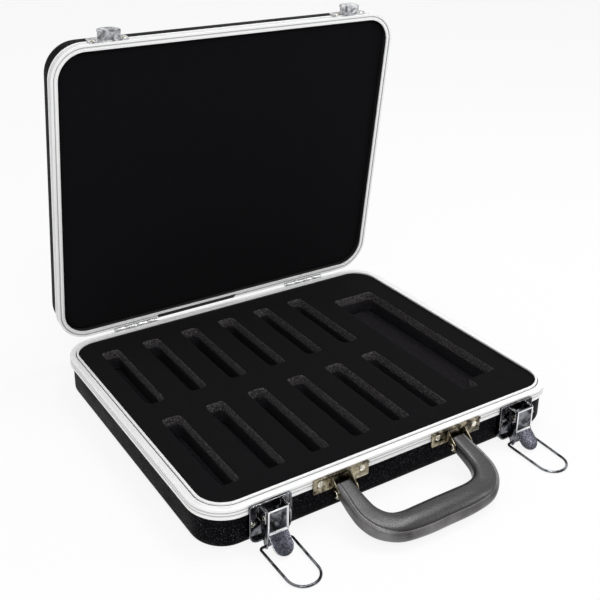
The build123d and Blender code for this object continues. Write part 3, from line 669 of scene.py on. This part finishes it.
def rivetTree(material):
    tree = bpy.data.node_groups.new("rivetHeads", "GeometryNodeTree")
    face = tree.interface
    face.new_socket("Geometry", in_out="OUTPUT", socket_type="NodeSocketGeometry")
    face.new_socket("Geometry", in_out="INPUT", socket_type="NodeSocketGeometry")
    keys = {}
    for name in rivetHead:
        keys[name] = face.new_socket(name, in_out="INPUT",
                                     socket_type="NodeSocketFloat").identifier
    source = addNode(tree, "NodeGroupInput").outputs
    ball = addNode(tree, "GeometryNodeMeshUVSphere", {
        "Segments": rivetBall["segments"], "Rings": rivetBall["rings"], "Radius": 1.0})
    spot = addNode(tree, "GeometryNodeInputPosition").outputs[0]
    parts = addNode(tree, "ShaderNodeSeparateXYZ", {0: spot}).outputs

    # the ball is flattened, dented in its middle and cut off at its foot
    flat = addNode(tree, "ShaderNodeCombineXYZ", {0: parts["X"], 1: parts["Y"]}).outputs[0]
    reach = compute(tree, "MULTIPLY", computeVector(tree, "LENGTH", flat), source["radius"])
    ratio = compute(tree, "DIVIDE", reach, source["dimpleRadius"])
    square = compute(tree, "POWER", ratio, 2.0)
    fade = compute(tree, "POWER", falloffBase, compute(tree, "MULTIPLY", square, -1.0))
    dent = compute(tree, "MULTIPLY", fade, source["dimpleDepth"])
    dome = compute(tree, "MULTIPLY", parts["Z"], source["height"])
    crest = compute(tree, "SUBTRACT", dome, dent)
    low = compute(tree, "MAXIMUM", crest, compute(tree, "MULTIPLY", source["foot"], -1.0))
    wide = addNode(tree, "ShaderNodeVectorMath", {0: flat, "Scale": source["radius"]},
                   operation="SCALE").outputs[0]
    sides = addNode(tree, "ShaderNodeSeparateXYZ", {0: wide}).outputs
    shaped = addNode(tree, "ShaderNodeCombineXYZ", {0: sides["X"], 1: sides["Y"], 2: low})
    head = addNode(tree, "GeometryNodeSetPosition", {"Geometry": ball.outputs["Mesh"],
                                                     "Position": shaped.outputs[0]})

    facing = addNode(tree, "GeometryNodeInputNamedAttribute", {"Name": "facing"},
                     data_type="FLOAT_VECTOR")
    turn = addNode(tree, "FunctionNodeAlignRotationToVector", {
        "Vector": facing.outputs["Attribute"]}, axis="Z")
    placed = addNode(tree, "GeometryNodeInstanceOnPoints", {
        "Points": source["Geometry"], "Instance": head.outputs["Geometry"],
        "Rotation": turn.outputs["Rotation"]})
    real = addNode(tree, "GeometryNodeRealizeInstances", {0: placed.outputs["Instances"]})
    done = addNode(tree, "GeometryNodeSetMaterial", {"Geometry": real.outputs[0],
                                                     "Material": material})
    addNode(tree, "NodeGroupOutput", {0: done.outputs[0]})
    return tree, keys


# Heads on seats; a seat is (place, outward direction), the place in millimetres
def setRivets(name, seats, finish, body, slot, node, **changes):
    mesh = bpy.data.meshes.new(name)
    mesh.from_pydata([spot * mm for spot, way in seats], [], [])
    facing = mesh.attributes.new("facing", "FLOAT_VECTOR", "POINT")
    facing.data.foreach_set("vector", [value for spot, way in seats for value in way])
    piece = newObject(name, mesh)
    tree, keys = rivetTree(finishes[finish])
    modifier = addModifier(piece, "NODES", node_group=tree)
    for key, identifier in keys.items():
        modifier[identifier] = {**rivetHead, **changes}[key] * mm
    place(settle(piece, allSmooth), body, slot, node)


# Seats at each offset from each centre; a seat on the lid is given as it lies when shut
def seatRow(row, onLid=False):
    seats = []
    for centre in row["centres"]:
        for offset in row["offsets"]:
            spot, way = Vector((centre + offset, row["y"], row["z"])), Vector(row["outward"])
            if onLid:
                spot = (lidMatrix @ (spot * mm)) / mm
                way = lidMatrix.to_3x3() @ way
            seats.append((spot, way))
    return seats


outFront, outBack = (0.0, -1.0, 0.0), (0.0, 1.0, 0.0)
leafFromRim, leafDimple = 5.45, 0.25
leafRow = {"centres": (-100.0, 100.0), "offsets": (-16.5, 0.0, 16.5), "y": 148.7,
           "outward": outBack}
catchRow = {"centres": (-126.0, 126.0), "offsets": (-14.6, 14.6), "y": -148.7, "z": 43.6,
            "outward": outFront}
bracketRow = {"centres": (-61.0, 57.0), "offsets": (-20.0, 20.0), "y": -148.7, "z": 31.8,
              "outward": outFront}
latchRow = {"centres": (-126.0, 126.0), "offsets": (-14.2, 14.2), "y": -145.8, "z": 17.0,
            "outward": outFront}
setRivets("hingeRivetsBase", seatRow({**leafRow, "z": case["baseRim"] - leafFromRim}),
          "hinge", "base", "hinge_steel", "hinge_base_rivets", dimpleDepth=leafDimple)
setRivets("hingeRivetsLid", seatRow({**leafRow, "z": case["lidRim"] + leafFromRim}, True),
          "hinge", "lid", "hinge_steel", "hinge_lid_rivets", dimpleDepth=leafDimple)
setRivets("catchRivets", seatRow(catchRow, True),
          "rivet", "lid", "rivet_nickel", "catch_rivets")
setRivets("bracketRivets", seatRow(bracketRow),
          "bracket", "base", "bracket_nickel", "handle_bracket_rivets")
setRivets("latchRivets", seatRow(latchRow),
          "rivet", "base", "rivet_nickel", "latch_rivets")
print("rivets set")


# Handle: one moulding swept from eye to eye, flat at its legs and fuller and rounder at the grip.
# A fine groove runs round its outer side, and the rim beyond it is painted paler as a painted
# highlight.
# The squares are the powers that shape a section; gripFrom and gripOver are shares of the way
handleShape = {
    "x": -2.0, "y": -155.0, "z": 22.5, "tiltDegrees": 14.5, "stations": 84,
    "inner": [(-51.0, -5.4), (-51.0, 6.0), (-50.4, 16.0), (-48.6, 26.0), (-43.0, 33.0),
              (-33.0, 35.4), (-18.0, 35.3), (0.0, 35.2)],
    "outer": [(-67.0, -5.4), (-67.3, 6.0), (-68.4, 18.0), (-67.6, 32.0), (-61.0, 46.0),
              (-46.5, 56.6), (-24.0, 60.2), (0.0, 60.4)],
    "thick": [(0.0, 11.2), (0.3, 11.8), (0.62, 13.8), (0.82, 16.6), (1.0, 16.9)],
    "legSquare": 0.5, "gripSquare": 0.98, "gripFrom": 0.45, "gripOver": 0.4,
    "seam": 3.6, "seamWidth": 0.5, "seamDepth": 0.45, "bodySteps": 11, "rimSteps": 5,
}


def catmull(points, t):      # point at t, 0 to 1, on a smooth line through points
    last = len(points) - 1
    s = min(t * last, last - 1e-9)      # a hair short of the end, so that a next point exists
    i, f = int(s), s - int(s)
    p = [Vector(points[min(max(i + k, 0), last)]) for k in (-1, 0, 1, 2)]
    return 0.5 * (2 * p[1] + (p[2] - p[0]) * f + (2 * p[0] - 5 * p[1] + 4 * p[2] - p[3]) * f * f
                  + (3 * p[1] - p[0] - 3 * p[2] + p[3]) * f ** 3)


def easeIn(f):      # from 0 to 1, level at both ends
    return f * f * (3 - 2 * f)


# One half of a section, from the inner side over the top to the outer, as (across, up, sunk)
def handleSection(half, square):
    h = handleShape
    groove = math.acos((1 - h["seam"] / half) ** (1 / square))
    nudge = h["seamWidth"] / half
    steps = [math.pi + (groove + nudge - math.pi) * k / h["bodySteps"]
             for k in range(h["bodySteps"] + 1)]
    steps += [groove] + [(groove - nudge) * (1 - k / h["rimSteps"])
                         for k in range(h["rimSteps"] + 1)]
    section = []
    for angle in steps:
        c, s = math.cos(angle), max(math.sin(angle), 0.0)
        sunk = h["seamDepth"] if angle == groove else 0.0
        section.append((math.copysign(abs(c) ** square, c), s ** square, sunk))
    return section


def handleMesh():
    h = handleShape
    count = h["stations"]
    whole = {key: h[key] + [(-x, y) for x, y in reversed(h[key][:-1])]
             for key in ("inner", "outer")}
    work = bmesh.new()
    rings = []
    for k in range(count + 1):
        a, b = catmull(whole["inner"], k / count), catmull(whole["outer"], k / count)
        middle, half = (a + b) / 2, (b - a) / 2
        run = 1 - abs(2 * k / count - 1)      # 0 at the eyes and 1 in the middle of the grip
        for (r0, v0), (r1, v1) in zip(h["thick"], h["thick"][1:]):
            if r0 <= run <= r1:
                thick = v0 + (v1 - v0) * easeIn((run - r0) / (r1 - r0))
        grip = easeIn(min(max((run - h["gripFrom"]) / h["gripOver"], 0.0), 1.0))
        square = h["legSquare"] + (h["gripSquare"] - h["legSquare"]) * grip
        section = handleSection(half.length, square)
        ring = []
        for side, points in ((1, section), (-1, section[-2:0:-1])):
            for across, upward, sunk in points:
                spot = middle + half * across
                ring.append(work.verts.new((spot.x, spot.y,
                                            side * (upward * thick / 2 - sunk))))
        rings.append(ring)
    around = len(rings[0])
    rimFrom, rimTo = h["bodySteps"] + 1, around - h["bodySteps"] - 1
    for first, second in zip(rings, rings[1:]):
        for m in range(around):
            n = (m + 1) % around
            face = work.faces.new((first[m], first[n], second[n], second[m]))
            # the rim band beyond the groove takes the paler nylon: a painted highlight
            face.material_index = int(rimFrom <= m < rimTo)
    for ring in (rings[0], rings[-1]):
        centre = work.verts.new(sum((v.co for v in ring), Vector()) / around)
        for m in range(around):
            work.faces.new((ring[m], ring[(m + 1) % around], centre))
    bmesh.ops.recalc_face_normals(work, faces=work.faces)
    tilt = math.radians(h["tiltDegrees"])
    forward = Vector((0.0, -math.cos(tilt), -math.sin(tilt)))
    upwards = Vector((0.0, -math.sin(tilt), math.cos(tilt)))
    for vertex in work.verts:
        x, y, z = vertex.co
        vertex.co = (Vector((h["x"] + x, h["y"], h["z"])) + forward * y + upwards * z) * mm
    mesh = bpy.data.meshes.new("handleGrip")
    work.to_mesh(mesh)
    work.free()
    return mesh


handle = newObject("handleGrip", handleMesh(), finishes["handle"], finishes["handleRim"])
addModifier(handle, "SUBSURF", levels=1, render_levels=1)
place(settle(handle, allSmooth), "handle", "handle_plastic", "handle")
print("handle swept")


# Stage, in metres. The floor is paper to dull light and mostly glows white to the camera, in
# mirrors and through glass
floorLook = {"reach": 6.0, "paper": "#f2f2f2", "whiteShare": 0.86}


def layFloor():
    reach = floorLook["reach"]
    mesh = bpy.data.meshes.new("studioFloor")
    mesh.from_pydata([(-reach, -reach, 0), (reach, -reach, 0), (reach, reach, 0),
                      (-reach, reach, 0)], [], [(0, 1, 2, 3)])
    material = bpy.data.materials.new("paperFloor")
    material.use_nodes = True
    tree = material.node_tree
    tree.nodes.clear()
    paper = addNode(tree, "ShaderNodeBsdfDiffuse", {"Color": linear(floorLook["paper"])})
    white = addNode(tree, "ShaderNodeEmission", {"Color": (1, 1, 1, 1), "Strength": 1.0})
    ray = addNode(tree, "ShaderNodeLightPath").outputs
    seen = compute(tree, "MAXIMUM", ray["Is Camera Ray"], ray["Is Glossy Ray"])
    shown = compute(tree, "MAXIMUM", seen, ray["Is Transmission Ray"])
    share = compute(tree, "MULTIPLY", shown, floorLook["whiteShare"])
    mixed = addNode(tree, "ShaderNodeMixShader", {0: share, 1: paper.outputs[0],
                                                  2: white.outputs[0]})
    addNode(tree, "ShaderNodeOutputMaterial", {"Surface": mixed.outputs[0]})
    floor = newObject("studioFloor", mesh, material)


# The world is white to the camera and even to dull surfaces; mirrors see its front side dim
worldLook = {"even": 0.6, "frontWay": (-0.5, -0.85, 0.16), "frontSpan": (0.15, 0.75),
             "mirrored": (0.95, 0.12)}


def lightWorld():
    look = worldLook
    world = bpy.data.worlds.new("whiteStudio")
    bpy.context.scene.world = world
    world.use_nodes = True
    tree = world.node_tree
    tree.nodes.clear()
    way = addNode(tree, "ShaderNodeTexCoord").outputs["Generated"]
    toFront = computeVector(tree, "DOT_PRODUCT", way, look["frontWay"])
    dim = spread(tree, toFront, look["frontSpan"], look["mirrored"],
                 interpolation_type="SMOOTHSTEP")
    ray = addNode(tree, "ShaderNodeLightPath").outputs
    seen = compute(tree, "MAXIMUM", ray["Is Glossy Ray"], ray["Is Transmission Ray"])
    part = spread(tree, seen, (0.0, 1.0), (look["even"], dim))
    strength = compute(tree, "MAXIMUM", part, ray["Is Camera Ray"])
    glow = addNode(tree, "ShaderNodeBackground", {"Color": (1, 1, 1, 1), "Strength": strength})
    addNode(tree, "ShaderNodeOutputWorld", {"Surface": glow.outputs[0]})


# Lamps as (place, size, watts), all turned towards one spot on the case
lamps = {"lampFront": ((-0.55, -1.1, 1.25), 0.7, 8.0), "lampTop": ((0.5, 0.0, 1.5), 0.6, 7.0),
         "lampRight": ((1.2, -0.8, 1.0), 0.5, 3.0)}
lampAim = (0.0, 0.0, 0.08)


def hangLamps():
    for name, (spot, size, power) in lamps.items():
        lamp = bpy.data.lights.new(name, "AREA")
        lamp.shape = "SQUARE"
        lamp.size = size
        lamp.energy = power
        holder = bpy.data.objects.new(name, lamp)
        holder.location = spot
        holder.rotation_euler = (Vector(lampAim) - Vector(spot)).to_track_quat(
            "-Z", "Y").to_euler()
        bpy.context.scene.collection.objects.link(holder)


# Camera: its lens and sensor in millimetres, its place in metres, and the picture's right, down
# and inward directions
photoView = {"lens": 57.4187, "sensor": 36.0, "shift": (0.0492, -0.16),
             "place": (-0.43532, -0.64588, 0.49476),
             "right": (0.85092238, -0.52527199, 0.00452054),
             "down": (-0.18390942, -0.30596589, -0.93411038),
             "ahead": (0.49204515, 0.79402406, -0.35695569)}


def aimCamera():
    view = photoView
    lens = bpy.data.cameras.new("photoCamera")
    lens.sensor_width = view["sensor"]
    lens.lens = view["lens"]
    lens.shift_x, lens.shift_y = view["shift"]
    camera = bpy.data.objects.new("photoCamera", lens)
    right, down, ahead = (Vector(view[key]) for key in ("right", "down", "ahead"))
    turned = Matrix((right, -down, -ahead)).transposed().to_4x4()
    camera.matrix_world = Matrix.Translation(view["place"]) @ turned
    bpy.context.scene.collection.objects.link(camera)
    bpy.context.scene.camera = camera


layFloor()
lightWorld()
hangLamps()
aimCamera()
bpy.context.scene.view_settings.view_transform = "Standard"
print("studio lit")
